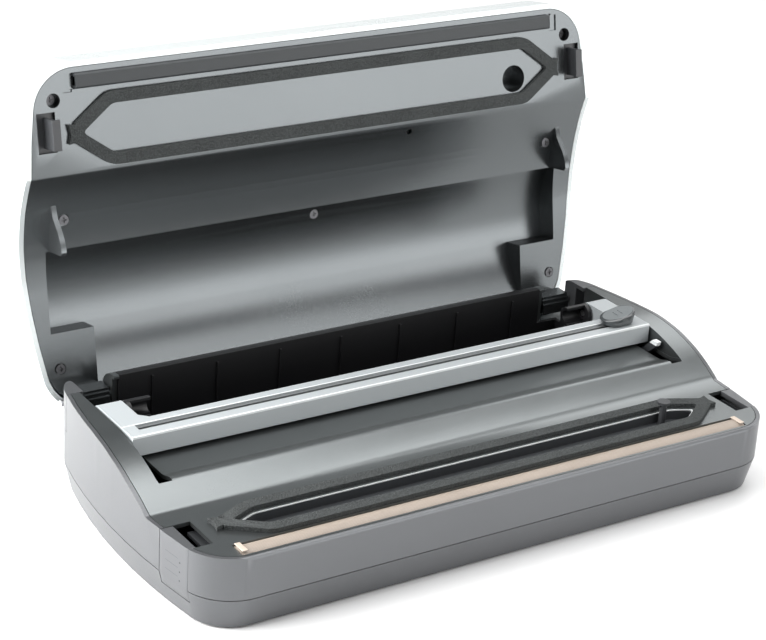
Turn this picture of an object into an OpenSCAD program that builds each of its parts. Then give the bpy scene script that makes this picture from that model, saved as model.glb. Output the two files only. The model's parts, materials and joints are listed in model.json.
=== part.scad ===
// Countertop vacuum sealer with roll storage and a bag cutter, shown with its lid open.
// +X is right, +Y is back, +Z is up. The origin is below the middle of the whole
// object, on the surface that it stands on. Lid pieces are drawn closed and then turned open.

/* [Base] */
// Width of the base at its widest
base_w = 385.2; // [370:0.1:400]
// Depth of the base
base_d = 197; // [192:1:204]
// Height of the front deck
deck_z = 42.8; // [41:0.1:44]
// Height of the side rails at the back
top_z = 62.9; // [61:0.1:65]
// Height of the parting line between the two casings
split_z = 18.8; // [17:0.1:21]
// Thickness of the casing walls
wall = 2.4; // [2:0.1:2.8]

/* [Outline] */
// Radius of the bowed sides in plan
bow_r = 420; // [400:5:500]
// Depth at which the base is widest
widest_y = 88; // [80:1:96]
// Radius of the corners in plan
corner_r = 28; // [27.5:0.5:32]
// Amount that the lower casing draws in at its foot
draft = 4; // [2:0.5:5]
// Depth at which the deck folds up into the slope
fold_y = 59.5; // [58:0.5:61]
// Depth at which the slope has reached full height
crest_y = 128; // [126:1:130]
// Radius of the rounded rear edge
rear_r = 13; // [11:1:14]

/* [Lid] */
// Angle that the lid is open
lid_open = 100; // [90:1:100]
// Height of the top of the closed lid
lid_top_z = 93.5; // [92.5:0.5:96]
// Radius of the lid's rounded top edge
lid_edge_r = 26; // [24:1:27]
// Gap between the closed lid and the base
rim_gap = 1; // [0.8:0.1:1.4]
// Hinge axis, depth
hinge_y = 188.8; // [188:0.1:189.5]
// Hinge axis, height
hinge_z = 49.2; // [48.6:0.1:49.8]

/* [Sealing] */
// Half length of the heat seal tape
tape_half = 165.4; // [160:0.1:167]
// Height of a foam gasket above its face
gasket_proud = 2.6; // [2:0.1:3]
// Width of the foam gasket band
gasket_band = 7.3; // [6:0.1:8]

/* [Controls] */
// Number of keys on the lid
key_count = 4; // [4]
// Distance between two keys
key_pitch = 24; // [22:1:25]

/* [Hidden] */
$fn = 48;
e = 0.01;

// Plan outline: bowed sides with round corners
bow_x = base_w / 2 - bow_r;
function arc(c, r, a0, a1, n) =
    [for (i = [0:n]) let (a = a0 + (a1 - a0) * i / n) [c[0] + r * cos(a), c[1] + r * sin(a)]];
function corner_x(y) = bow_x + sqrt(pow(bow_r - corner_r, 2) - pow(y - widest_y, 2));
function right_edge(inset, yf, yr) =
    let (cf = [corner_x(yf + corner_r), yf + corner_r],
         cr = [corner_x(yr - corner_r), yr - corner_r],
         af = atan2(cf[1] - widest_y, cf[0] - bow_x),
         ar = atan2(cr[1] - widest_y, cr[0] - bow_x),
         r = max(corner_r - inset, 0.6))
    concat(arc(cf, r, -90, af, 12), arc([bow_x, widest_y], bow_r - inset, af, ar, 8),
           arc(cr, r, ar, 90, 12));
function mirrored(p) = [for (i = [len(p) - 1:-1:0]) [-p[i][0], p[i][1]]];
function outline(inset, yf, yr) =
    let (p = right_edge(inset, yf, yr)) concat(p, mirrored(p));
function half_w(y) = bow_x + sqrt(bow_r * bow_r - pow(y - widest_y, 2));

// Side profile of the base: deck, slope and rails, lowered by t
slope_r = (pow(crest_y - fold_y, 2) + pow(top_z - deck_z, 2)) / (2 * (top_z - deck_z));
slope_cz = top_z - slope_r;
nose_r = 2.2;
function fold_at(t) =
    crest_y - sqrt(pow(slope_r - t, 2) - pow(deck_z - t - slope_cz, 2));
function slope_z(y) = slope_cz + sqrt(slope_r * slope_r - pow(crest_y - y, 2));
function slope_arc(t, y_end) =
    let (fy = fold_at(t), a0 = atan2(deck_z - t - slope_cz, fy - crest_y),
         a1 = acos((y_end - crest_y) / (slope_r - t)))
    arc([crest_y, slope_cz], slope_r - t, a0, a1, 16);
function body_profile(t, z0) =
    concat([[t, z0]], arc([nose_r, deck_z - nose_r], max(nose_r - t, 0.2), 180, 90, 5),
           slope_arc(t, crest_y),
           arc([base_d - rear_r, top_z - rear_r], rear_r - t, 90, 0, 8),
           [[base_d - t, z0]]);

// Middle of the top: slope, crest, trough under the cutter, then the rear band
rail_x = 176.5;
trough_z = 49.8;
crest_front_y = 77;
trough_y = 88;
tray_y0 = 128;
tray_y1 = 182;
tray_x = 163;
function ease(y0, z0, y1, z1, n) =
    [for (i = [1:n]) [y0 + (y1 - y0) * i / n, z0 + (z1 - z0) * (1 - cos(180 * i / n)) / 2]];
function middle_profile(t, z0) =
    concat([[t, z0]], arc([nose_r, deck_z - nose_r], max(nose_r - t, 0.2), 180, 90, 5),
           [for (p = slope_arc(t, crest_y)) if (p[0] < crest_front_y - 0.5) p],
           [[crest_front_y, slope_z(crest_front_y) - t]],
           ease(crest_front_y, slope_z(crest_front_y) - t, trough_y, trough_z - t, 8),
           [[tray_y1 - t, trough_z - t], [tray_y1 - t, top_z - t]],
           arc([base_d - rear_r, top_z - rear_r], rear_r - t, 90, 0, 8),
           [[base_d - t, z0]]);

// Open slots beside the crest, latch pockets and the cutter
slot_x0 = 168.3;
slot_y0 = 75.5;
bar_y0 = 107.4;
bar_y1 = 127;
bar_z0 = 51.8;
bar_z1 = 63.4;
bar_x = 175.5;
pocket_x0 = 173.1;
pocket_y0 = 21.7;
pocket_y1 = 46.4;
ledge_x = 183;
button_z0 = 11.7;
arm_pivot_y = 150;
arm_pivot_z = 57.6;
knob_x = 158;
groove_y = 117.7;

// Sealing bar and gasket
tape_y = 9.85;
tape_w = 10.7;
gasket_y0 = 16.1;
gasket_y1 = 49.5;
gasket_lid_y1 = 57.2;
gasket_tip_y = 36.4;
gasket_bend = 141;
gasket_tip = 169;
ear_x = 161.6;
nozzle = [131, 37.6];
socket = [133, 41.2];
chamber_z = 36;

// Hinge, lid and controls
notch_x0 = 150.5;
notch_x1 = 174;
knuckle_x0 = 152;
knuckle_x1 = 171.5;
pin_r = 2;
liner_t = 2.4;
liner_inset = 3.3;
land_z = deck_z + rim_gap;
lid_wall = 3;
lid_y0 = -2;
lid_y1 = 200;
lip_y = 104.5;
ridge_y = 152.5;
cavity_x = 176.2;
cavity_rear_x = 149.5;
fin_x = 173;
panel_c = [91, 58];
panel_size = [108, 30];
key_z = 94.4;
board_z = lid_top_z - 9.4;
key_x0 = panel_c[0] - key_pitch * (key_count - 1) / 2;
pillars = [[178, 60], [178, 148], [112, 9.5], [156, 189.5]];
foot_at = [[150, 24], [150, 172]];
lid_screw_at = [[172.4, 18.1, 52], [166, 87, slope_z(87) + rim_gap], [172, 173.5, top_z + rim_gap]];

// The open lid reaches furthest back: the place of the origin follows from it
function open_y(p) =
    hinge_y + (p[0] - hinge_y) * cos(lid_open) + (p[1] - hinge_z) * sin(lid_open);
lid_cz = lid_top_z - 1.5 - lid_edge_r;
panel_front = [panel_c[1] - panel_size[1] / 2, lid_top_z + 0.2];
key_front = [panel_c[1] - 5, key_z];
back_y = max([for (p = concat(
    [for (i = [0:10]) [lid_y0 + lid_edge_r * (1 - cos(9 * i)), lid_cz + lid_edge_r * sin(9 * i)]],
    [[lid_y0 + corner_r - 0.6, lid_top_z], panel_front, key_front])) open_y(p)]);
mid_y = back_y / 2;

module place() { translate([0, -mid_y, 0]) children(); }
module lid_place() {
    place() translate([0, hinge_y, hinge_z]) rotate([-lid_open, 0, 0])
        translate([0, -hinge_y, -hinge_z]) children();
}
module both() { children(); mirror([1, 0, 0]) children(); }
module along_x(points, x0, x1) {
    translate([x0, 0, 0]) rotate([90, 0, 90]) linear_extrude(x1 - x0) polygon(points);
}
module box(x0, x1, y0, y1, z0, z1) { translate([x0, y0, z0]) cube([x1 - x0, y1 - y0, z1 - z0]); }
module plan(inset, z0, z1, yf = 0, yr = base_d) {
    translate([0, 0, z0]) linear_extrude(z1 - z0) polygon(outline(inset, yf, yr));
}
module rod_x(y, z, r, x0, x1) {
    translate([x0, y, z]) rotate([0, 90, 0]) cylinder(r = r, h = x1 - x0);
}
module round_box(x0, x1, y0, y1, z0, z1, r) {
    translate([0, 0, z0]) linear_extrude(z1 - z0) union() {
        translate([x0 + r, y0]) square([x1 - x0 - 2 * r, y1 - y0]);
        translate([x0, y0 + r]) square([x1 - x0, y1 - y0 - 2 * r]);
        for (x = [x0 + r, x1 - r], y = [y0 + r, y1 - r]) translate([x, y]) circle(r);
    }
}

// Base casings
module base_solid(t, z0) {
    intersection() {
        plan(t, z0, top_z + 1);
        union() {
            along_x(middle_profile(t, z0), -rail_x - t, rail_x + t);
            both() along_x(body_profile(t, z0), rail_x + t, base_w / 2);
        }
    }
}
function unit(v) = v / norm(v);
function inset_poly(p, w) = [for (i = [0:len(p) - 1])
    let (a = unit(p[i] - p[(i + len(p) - 1) % len(p)]), b = unit(p[(i + 1) % len(p)] - p[i]),
         m = [-a[1], a[0]], n = [-b[1], b[0]])
    p[i] + (m + n) * w / (1 + m * n)];
function gasket_hex(lid) =
    let (yr = lid ? gasket_lid_y1 : gasket_y1, yt = lid ? gasket_tip_y + 0.8 : gasket_tip_y)
    [[-gasket_bend, gasket_y0], [gasket_bend, gasket_y0], [gasket_tip, yt],
     [gasket_bend, yr], [-gasket_bend, yr], [-gasket_tip, yt]];
function rounded(p, bend, tip) = [for (i = [0:len(p) - 1], t = [0:0.25:1])
    let (d = i % 3 == 2 ? tip : bend, v = p[i],
         a = v - unit(v - p[(i + len(p) - 1) % len(p)]) * d, b = v + unit(p[(i + 1) % len(p)] - v) * d)
    a * (1 - t) * (1 - t) + v * 2 * t * (1 - t) + b * t * t];
// Elongated ring outline, drawn in by w
module gasket_outline(w, lid = false) {
    polygon(rounded(inset_poly(gasket_hex(lid), w), w > 0 ? 2.6 : 4.6, 3));
}
module gasket_ring(lid = false) {
    difference() {
        union() {
            intersection() {
                gasket_outline(0, lid);
                translate([-ear_x, 0]) square([2 * ear_x, 60]);
            }
            both() translate([ear_x, gasket_tip_y + (lid ? 0.8 : 0)]) polygon(lid ?
                [[-3, -5], [0.2, -4.7], [4.1, -5.3], [3, 0.1], [4.1, 5.6], [0.2, 4.9], [-3, 5]] :
                [[-3, -4.6], [0.2, -4.5], [4.1, -5.2], [3, 0.1], [4.1, 5.5], [0.2, 4.2], [-3, 4.2]]);
        }
        gasket_outline(lid ? gasket_band - 0.4 : gasket_band, lid);
    }
}
module release_space(g) {
    both() box(pocket_x0, 200, pocket_y0 - g, pocket_y1 + g, button_z0 - g, deck_z + 1);
}
module cap_region(g) {
    both() box(notch_x1 - g, 200, 172 - g, 200, 40 - g, top_z + 1);
}
module slots() {
    both() box(slot_x0, rail_x - 0.3, slot_y0, bar_y0 + 9, 40, top_z);
}
module casing_skirt() {
    // Outer wall of the base, between the lower casing and the deck
    color("gray") place() difference() {
        base_solid(0, split_z);
        base_solid(wall, split_z - 1);
        plan(wall, split_z - 1, top_z + 1);
        release_space(0.25);
        cap_region(0.3);
        both() box(notch_x0, notch_x1 + 1, 176.5, 200, 40, top_z + 5);
        box(-136, -106, base_d - 5, base_d + 1, split_z - 2, 28.2);
    }
}
module deck() {
    color("dimgray") place() intersection() {
        deck_solid();
        plan(wall + 0.35, 10, top_z + 1);
    }
}
module deck_solid() {
    difference() {
        union() {
            difference() {
                base_solid(0, split_z + 3);
                base_solid(wall, split_z);
            }
            // walls that carry the tray, the pins and the pillars
            both() intersection() {
                base_solid(0.5, split_z);
                union() {
                    box(notch_x0 - 3.4, notch_x0, 178, 196, 38, top_z);
                    box(notch_x0 - 3.4, notch_x1 + 6, 150, 196, 37.5, 40);
                    box(rail_x, rail_x + 5, arm_pivot_y - 6, arm_pivot_y + 6, 50, top_z - 1);
                }
            }
            both() for (p = pillars) intersection() {
                translate([p[0], p[1], 12]) cylinder(d = 8, h = p[1] > 180 ? 26 : 50);
                base_solid(1, 11);
            }
            intersection() {
                base_solid(1, 30);
                box(-167.5, 167.5, 3.4, 17, 35.5, deck_z);
            }
        }
        // roll tray and vacuum tray
        box(-tray_x, tray_x, tray_y0, tray_y1 + 1.8, split_z - 2, top_z - 2);
        box(-147, 147, tray_y0, tray_y1 + 0.1, split_z - 2, top_z + 5);
        box(-147, 147, tray_y1, 200, top_z - 12, top_z + 5);
        translate([0, 0, chamber_z - 2]) linear_extrude(20) gasket_outline(gasket_band + 0.8);
        translate([0, 0, deck_z - 1]) linear_extrude(5) gasket_ring();
        // sealing bar
        box(-tape_half - 0.6, tape_half + 0.6, tape_y - tape_w / 2 - 0.3, tape_y + tape_w / 2 + 0.3, deck_z - 1.4, 50);
        box(-161, 161, tape_y - 3.6, tape_y + 3.6, 37, 50);
        both() box(160.8, 162.4, tape_y - 1.6, tape_y + 1.6, 32, 50);
        slots();
        release_space(0.25);
        cap_region(0.3);
        // hinge notches, open above and behind
        both() box(notch_x0, notch_x1 + 1, 176.5, 200, 40, top_z + 5);
        both() rod_x(hinge_y, hinge_z, pin_r, notch_x0 - 8, notch_x1 + 6);
        both() rod_x(arm_pivot_y, arm_pivot_z, pin_r, rail_x - 1, rail_x + 4);
        both() for (p = pillars) translate([p[0], p[1], 11]) cylinder(d = 2.9, h = 12);
        // blade clearance below the cutter
        box(-168, 168, groove_y - 1.6, groove_y + 1.6, trough_z - 1.6, trough_z + 1);
    }
}
module tub(inset, z0, z1) {
    // Tapered tub, drawn in at its foot
    hull() {
        plan(inset, z1 - e, z1);
        plan(inset + draft, z0, z0 + e);
    }
}
module lower_casing() {
    color("gray") place() difference() {
        union() {
            difference() {
                tub(0, 1.2, split_z - 0.4);
                tub(wall, 3.6, split_z);
            }
            both() for (p = pillars) translate([p[0], p[1], 3]) cylinder(d = 8, h = 8.8);
            both() box(166.6, 168.6, pocket_y0 + 1, pocket_y1 - 1, 3, 33);
            both() for (p = foot_at) translate([p[0], p[1], 2]) cylinder(d = 20, h = 2.1);
            // cradles for the motor and the transformer
            for (x = [-116, -90]) box(x, x + 3, 72, 98, 3, 14);
        }
        both() for (p = pillars) {
            translate([p[0], p[1], 0]) cylinder(d = 3.2, h = 20);
            translate([p[0], p[1], 0]) cylinder(d = 6.2, h = 5.5);
        }
        both() for (p = foot_at) translate([p[0], p[1], 0]) cylinder(d = 16, h = 3);
        release_space(0.25);
        rod_x(85, 22, 15, -123, -79);
        box(-136, -106, base_d - 8, base_d + 1, 8, split_z + 1);
        for (i = [-6:6]) box(i * 8 - 1.5, i * 8 + 1.5, 70, 104, 0, 5);
    }
}
module roll_tray() {
    color([0.04, 0.04, 0.045]) place() union() {
        difference() {
            box(-tray_x, tray_x, tray_y0, tray_y1 + 1.8, 4.3, top_z - 1.7);
            box(-tray_x + 1.8, tray_x - 1.8, tray_y0 + 1.8, tray_y1, 6, top_z + 5);
            box(-200, 200, 0, tray_y1, trough_z, top_z + 5);
            both() box(147, 170, 176.3, 200, 39.8, top_z + 5);
        }
        intersection() {
            difference() {
                along_x(body_profile(0, 30), -146.7, 146.7);
                along_x(body_profile(1.8, 20), -148, 148);
            }
            box(-146.7, 146.7, tray_y1, 194.2, 40, 100);
        }
        // ribs on the rear wall
        for (i = [-3:3]) box(i * 42 - 0.6, i * 42 + 0.6, tray_y1 - 1.2, tray_y1 + 0.5, 6, top_z - 4);
    }
}
module vacuum_tray() {
    color([0.16, 0.17, 0.18]) place() difference() {
        translate([0, 0, chamber_z - 1.6]) linear_extrude(deck_z - chamber_z + 0.9) gasket_outline(gasket_band + 0.8);
        translate([0, 0, chamber_z]) linear_extrude(20) gasket_outline(gasket_band + 1.6);
        translate([nozzle[0], nozzle[1], 30]) cylinder(r = 2.6, h = 20);
    }
}
module lower_gasket() {
    color([0.2, 0.22, 0.22]) place() translate([0, 0, deck_z - 1])
        linear_extrude(gasket_proud + 1) gasket_ring();
}

// Sealing bar
function strip_top(t) = [for (i = [0:8])
    let (u = -1 + i / 4) [tape_y + u * (tape_w / 2 - t), deck_z - 1.05 + 1.9 * (1 - u * u) - t]];
module element_bar() {
    color("saddlebrown") place() union() {
        box(-160.5, 160.5, tape_y - 3.4, tape_y + 3.4, 37, deck_z - 1.5);
        along_x(concat([[tape_y - 3.4, deck_z - 1.6]],
            [for (p = strip_top(0.35)) if (abs(p[0] - tape_y) < 3.9) [p[0], min(p[1], deck_z + 0.05)]],
            [[tape_y + 3.4, deck_z - 1.6]]), -160.5, 160.5);
    }
}
module heating_wire() {
    color("silver") place() union() {
        box(-162, 162, tape_y - 1.3, tape_y + 1.3, deck_z + 0.07, deck_z + 0.32);
        both() box(161, 162, tape_y - 1.3, tape_y + 1.3, 33, deck_z + 0.2);
    }
}
module ptfe_tape() {
    color("tan") place() difference() {
        along_x(concat([[tape_y - tape_w / 2, deck_z - 1.4]], strip_top(0), [[tape_y + tape_w / 2, deck_z - 1.4]]),
            -tape_half, tape_half);
        along_x(concat([[tape_y - tape_w / 2 + 0.35, deck_z - 2]],
            [for (p = strip_top(0.35)) [p[0], max(p[1], deck_z - 1.3)]],
            [[tape_y + tape_w / 2 - 0.35, deck_z - 2]]), -163, 163);
    }
}
module tape_clips() {
    color([0.62, 0.53, 0.42]) place() both()
        box(tape_half - 3.4, tape_half - 0.2, tape_y - 4.4, tape_y + 4.4, deck_z + 0.9, deck_z + 1.5);
}
module suction_nozzle() {
    color([0.3, 0.32, 0.33]) place() translate([nozzle[0], nozzle[1], 0]) difference() {
        union() {
            translate([0, 0, 28]) cylinder(r = 2.6, h = 9);
            translate([0, 0, 37]) cylinder(r = 2.1, h = 12.5);
            translate([0, 0, 49.2]) cylinder(r = 3.8, h = 1.6);
        }
        translate([0, 0, 27]) cylinder(r = 1.1, h = 22);
        translate([-5, 0, 47.8]) rotate([0, 90, 0]) cylinder(r = 0.8, h = 10);
    }
}

// Hinge
module hinge_pins() {
    color("silver") place() both() rod_x(hinge_y, hinge_z, pin_r, notch_x0 - 3.4, notch_x1 + 6);
}
module hinge_caps() {
    color("dimgray") place() both() difference() {
        intersection() {
            base_solid_right();
            box(notch_x1, 200, 172, 200, 40, top_z + 1);
        }
        intersection() {
            plan(wall, 30, top_z);
            along_x(body_profile(wall, 30), notch_x1 + 7, 200);
            box(notch_x1 + 7, 200, 170, 200, 39, top_z);
        }
        box(notch_x1 - 1, notch_x1 + 7.1, 171, 179, 39, top_z - wall);
        rod_x(hinge_y, hinge_z, pin_r, notch_x1 - 1, notch_x1 + 6);
    }
}
module base_solid_right() {
    intersection() {
        plan(0, 30, top_z + 1);
        along_x(body_profile(0, 30), 0, base_w / 2);
    }
}
module arm_brackets() {
    // Curved brackets that carry the cutter's arms inside the roll tray
    color([0.06, 0.06, 0.065]) place() both() difference() {
        union() {
            difference() {
                rod_x(arm_pivot_y, arm_pivot_z, 5.7, 144, 159.6);
                rod_x(arm_pivot_y, arm_pivot_z, 3.8, 143, 157);
                box(143, 157, arm_pivot_y - 20, arm_pivot_y - 1, arm_pivot_z - 5, arm_pivot_z + 20);
            }
            box(157, 159.6, arm_pivot_y - 6, arm_pivot_y + 6, 43, arm_pivot_z);
            box(157, tray_x - 1.8, arm_pivot_y - 6, arm_pivot_y + 6, 43, trough_z - 0.3);
        }
        rod_x(arm_pivot_y, arm_pivot_z, pin_r, 140, 165);
    }
}
module arm_pins() {
    color("silver") place() both() rod_x(arm_pivot_y, arm_pivot_z, pin_r, 157, rail_x + 4);
}
module feet() {
    color([0.08, 0.08, 0.08]) place() both() for (p = foot_at) translate([p[0], p[1], 0]) cylinder(d = 16, h = 3);
}
module casing_screws() {
    color("silver") place() both() for (p = pillars) translate([p[0], p[1], 0]) {
        translate([0, 0, 3.5]) difference() {
            cylinder(d = 5.6, h = 2);
            for (a = [0, 90]) rotate([0, 0, a]) translate([-1.6, -0.35, -e]) cube([3.2, 0.7, 1]);
        }
        translate([0, 0, 5.4]) cylinder(d = 2.9, h = 15);
    }
}

// Inside the base
module pump_motor() {
    color("silver") place() difference() {
        union() {
            rod_x(85, 22, 14.8, -122, -82);
            rod_x(85, 22, 4.5, -82, -80);
        }
        rod_x(85, 22, 1.6, -88, -79);
    }
}
module pump_body() {
    color([0.12, 0.12, 0.13]) place() difference() {
        union() {
            box(-73, -44, 66, 104, 4, 38);
            rod_y(-58, 20, 3.4, 60, 66);
            box(-73, -44, 104, 110, 14, 30);
        }
        rod_x(85, 22, 1.6, -74, -66);
        rod_y(-58, 20, 1.5, 59, 80);
    }
}
module rod_y(x, z, r, y0, y1) {
    translate([x, y1, z]) rotate([90, 0, 0]) cylinder(r = r, h = y1 - y0);
}
module pump_rotor() {
    color("goldenrod") place() union() {
        rod_x(85, 22, 1.5, -87.5, -67);
        rod_x(85, 22, 11, -78.5, -75);
        rod_x(91, 22, 2.2, -78.6, -73.6);
    }
}
module vacuum_hose() {
    // Barb below the nozzle, elbow, straight run and elbow into the pump
    color("gainsboro") place() difference() {
        union() {
            translate([nozzle[0], nozzle[1], 28]) cylinder(r = 4.2, h = 6);
            translate([nozzle[0], nozzle[1], 26]) cylinder(r = 3, h = 2.1);
            translate([nozzle[0] - 6, nozzle[1], 26]) rotate([90, 0, 0]) rotate_extrude(angle = -90) translate([6, 0]) circle(r = 3);
            rod_x(nozzle[1], 20, 3, -52, nozzle[0] - 6);
            translate([-52, nozzle[1] + 6, 20]) rotate([0, 0, -90]) rotate_extrude(angle = -90) translate([6, 0]) circle(r = 3);
            rod_y(-58, 20, 3, nozzle[1] + 6, 58);
            rod_y(-58, 20, 4.6, 57.5, 65.5);
        }
        translate([nozzle[0], nozzle[1], 28]) cylinder(r = 2.6, h = 8);
        rod_y(-58, 20, 3.4, 60, 67);
        rod_y(-58, 20, 1.6, 50, 67);
    }
}
module release_valve() {
    color("steelblue") place() union() {
        box(6, 34, 33, 48, 3.6, 16.9);
        translate([20, nozzle[1], 3.6]) cylinder(r = 6, h = 13.3);
    }
}
module transformer_core() {
    color("darkslategray") place() difference() {
        box(62, 114, 66, 104, 3.6, 40);
        box(70, 80, 65, 105, 12, 32);
        box(96, 106, 65, 105, 12, 32);
    }
}
module transformer_coil() {
    color("orange") place() difference() {
        union() {
            box(70.2, 105.8, 60, 65.8, 12.2, 31.8);
            box(70.2, 105.8, 104.2, 110, 12.2, 31.8);
            box(70.2, 79.8, 65, 105, 12.2, 31.8);
            box(96.2, 105.8, 65, 105, 12.2, 31.8);
        }
    }
}
module main_board() {
    color("darkgreen") place() union() {
        box(-34, 52, 64, 114, 12, 13.6);
        for (p = [[-30, 68], [48, 68], [-30, 110], [48, 110]]) translate([p[0], p[1], 3.6]) cylinder(d = 5, h = 8.5);
        box(-24, -6, 72, 84, 13.5, 32);
        box(4, 12, 72, 104, 13.5, 30);
        translate([30, 80, 13.5]) cylinder(r = 7, h = 20);
        translate([30, 98, 13.5]) cylinder(r = 5, h = 14);
        box(-28, -2, 94, 108, 13.5, 18);
    }
}
module power_inlet() {
    color([0.07, 0.07, 0.075]) place() difference() {
        union() {
            box(-135.8, -106.2, base_d - 2.6, base_d + 0.4, 8.2, 28);
            box(-133, -109, 184.5, base_d - 2.5, 10.5, 25.5);
        }
        for (x = [-125, -117]) rod_y(x, 18, 4.6, base_d - 9, base_d + 2);
        box(-125, -117, base_d - 9, base_d + 2, 13.4, 22.6);
    }
}

// Lid switch and its lever
lever_y = 112;
lever_z = 40;
module lid_switch() {
    color([0.1, 0.1, 0.1]) place() union() {
        box(168.6, 177.4, 92, 118, 24, 31);
        box(175.4, 177.4, lever_y - 5, lever_y + 5, 30.9, lever_z + 4);
        box(168.8, 170.4, lever_y - 5, lever_y + 5, 30.9, lever_z + 4);
        rod_x(lever_y, lever_z, 1.4, 170, 176);
        translate([172.9, 100, 30.9]) cylinder(d = 2.4, h = 7.2);
    }
}
module switch_lever() {
    color("white") place() difference() {
        union() {
            rod_x(lever_y, lever_z, 3.2, 171.2, 174.6);
            along_x([[lever_y - 3, lever_z + 0.6], [94.6, 54.4], [94, 57.2], [98.6, 57.2], [lever_y + 1, lever_z + 2.9]],
                171.2, 174.6);
        }
        rod_x(lever_y, lever_z, 1.5, 170, 176);
    }
}
module latch_springs() {
    // Leaf springs that push the release buttons out
    color("silver") place() both() translate([0, 0, 20]) linear_extrude(8) polygon(
        [[168.7, 25], [169.2, 25], [183.7, 30.2], [183.7, 31], [169.2, 43], [168.7, 43], [168.7, 42.4],
         [182.8, 30.6], [168.7, 25.5]]);
}

// Cutter
module cutter_frame() {
    color([0.66, 0.68, 0.69]) place() difference() {
        union() {
            box(-bar_x, bar_x, bar_y0, bar_y1, bar_z0, bar_z1);
            both() box(160.6, bar_x, bar_y1 - 1, arm_pivot_y, bar_z0, bar_z1);
            both() rod_x(arm_pivot_y, arm_pivot_z, (bar_z1 - bar_z0) / 2, 160.6, bar_x);
            both() translate([0, 0, bar_z0]) linear_extrude(bar_z1 - bar_z0)
                polygon([[156, bar_y1 - e], [161, bar_y1 + 5], [161, bar_y1 - e]]);
        }
        box(-168, 168, groove_y - 3, groove_y + 3, 55.5, bar_z1 + 1);
        box(-167, 167, groove_y - 0.8, groove_y + 0.8, bar_z0 - 1, 56);
        both() rod_x(arm_pivot_y, arm_pivot_z, pin_r + 0.05, 155, 180);
    }
}
module cutter_insert() {
    color([0.32, 0.34, 0.35]) place() difference() {
        box(-168, 168, groove_y - 3, groove_y + 3, 55.5, bar_z1 - 0.9);
        box(-167, 167, groove_y - 2.1, groove_y + 2.1, 56.3, 61.4);
        box(-167, 167, groove_y - 0.75, groove_y + 0.75, 61, bar_z1 + 1);
        box(-167, 167, groove_y - 0.6, groove_y + 0.6, 55, 57);
    }
}
module cutter_carriage() {
    color([0.2, 0.2, 0.2]) place() difference() {
        union() {
            box(knob_x - 8, knob_x + 8, groove_y - 1.8, groove_y + 1.8, 56.7, 61);
            box(knob_x - 5, knob_x + 5, groove_y - 0.4, groove_y + 0.4, 60.9, 64.2);
        }
        box(knob_x - 6, knob_x + 6, groove_y - 0.2, groove_y + 0.2, 56, 60);
    }
}
module cutter_blade() {
    color("silver") place() translate([0, groove_y + 0.2, 0]) rotate([90, 0, 0]) linear_extrude(0.4)
        polygon([[knob_x - 6, 60], [knob_x + 6, 60], [knob_x + 6, 53], [knob_x + 2, 50.6], [knob_x - 2, 50.6],
                 [knob_x - 6, 53]]);
}
module cutter_knob() {
    // Oval thumb grip with a tilted, dished top
    color([0.35, 0.37, 0.38]) place() difference() {
        hull() {
            for (s = [-1, 1]) translate([knob_x + s * 3.5, groove_y, 64.2]) cylinder(r = 6.8, h = 1.6, $fn = 32);
            translate([knob_x, groove_y, 68.6]) rotate([0, -11, 0]) for (s = [-1, 1])
                translate([s * 4, 0, 0]) cylinder(r = 7.6, h = 1, $fn = 32);
            translate([knob_x, groove_y, 69.7]) rotate([0, -11, 0]) for (s = [-1, 1])
                translate([s * 4, 0, 0]) cylinder(r = 6.6, h = 0.5, $fn = 32);
        }
        translate([knob_x, groove_y, 68.2]) rotate([0, -11, 0]) for (x = [-1.8, 1.8])
            translate([x - 0.4, -2.6, 1.4]) cube([0.8, 5.2, 2]);
    }
}

// Release buttons, drawn for the right side
module release_button() {
    union() {
        intersection() {
            difference() {
                union() {
                    plan(0, split_z, deck_z - 0.1);
                    tub(0, 1.2, split_z);
                }
                difference() {
                    plan(3, -1, deck_z - 3);
                    for (y = [29, 38]) box(183.95, 200, y, y + 1.6, 18, 37);
                }
            }
            box(150, 200, pocket_y0, pocket_y1, button_z0, deck_z - 0.1);
            box(ledge_x, 200, 0, 100, 0, 100);
        }
    }
}
module catch_plate() {
    difference() {
        union() {
            box(170.5, 183.9, 24, 44.8, 36, 38);
            box(182.9, 183.9, 24, 44.8, 30, 38);
        }
        box(175.6, 182.8, 25.6, 45, 35, 39);
    }
}
module release_button_right() { color("gray") place() release_button(); }
module release_button_left() { color("gray") place() mirror([1, 0, 0]) release_button(); }
module catch_plate_right() { color([0.15, 0.15, 0.15]) place() catch_plate(); }
module catch_plate_left() { color([0.15, 0.15, 0.15]) place() mirror([1, 0, 0]) catch_plate(); }

// Lid
module lid_solid(t) {
    // Pillow shape: stacked outlines that draw in towards the top
    hull() {
        plan(t, deck_z - 6, lid_cz, lid_y0, lid_y1);
        for (i = [1:10]) plan(t + (lid_edge_r - t) * (1 - cos(9 * i)),
            lid_cz + (lid_edge_r - t) * sin(9 * i) - e, lid_cz + (lid_edge_r - t) * sin(9 * i), lid_y0, lid_y1);
        plan(t + 40, lid_top_z - t - e, lid_top_z - t, lid_y0, lid_y1);
    }
}
module under_rim(t, z0) {
    // Everything below the lid's rim, which follows the base
    union() {
        along_x(concat([[-10, z0], [-10, deck_z - t]], slope_arc(t, crest_y), [[199.9, top_z - t], [199.9, z0]]), -220, 220);
        box(-220, 220, 190, 230, z0, 61);
    }
}
module shell_bosses() {
    both() for (i = [0:2])
        translate([lid_screw_at[i][0], lid_screw_at[i][1], i == 0 ? 52 : lid_screw_at[i][2] + 4.4]) cylinder(d = 7, h = 40);
    translate([5, 112, 80.4]) cylinder(d = 7, h = 12);
    for (s = [-1, 1], y = [-11, 11]) translate([panel_c[0] + s * 49, panel_c[1] + y, board_z + 1.65]) cylinder(d = 5.4, h = 6);
}
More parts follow.
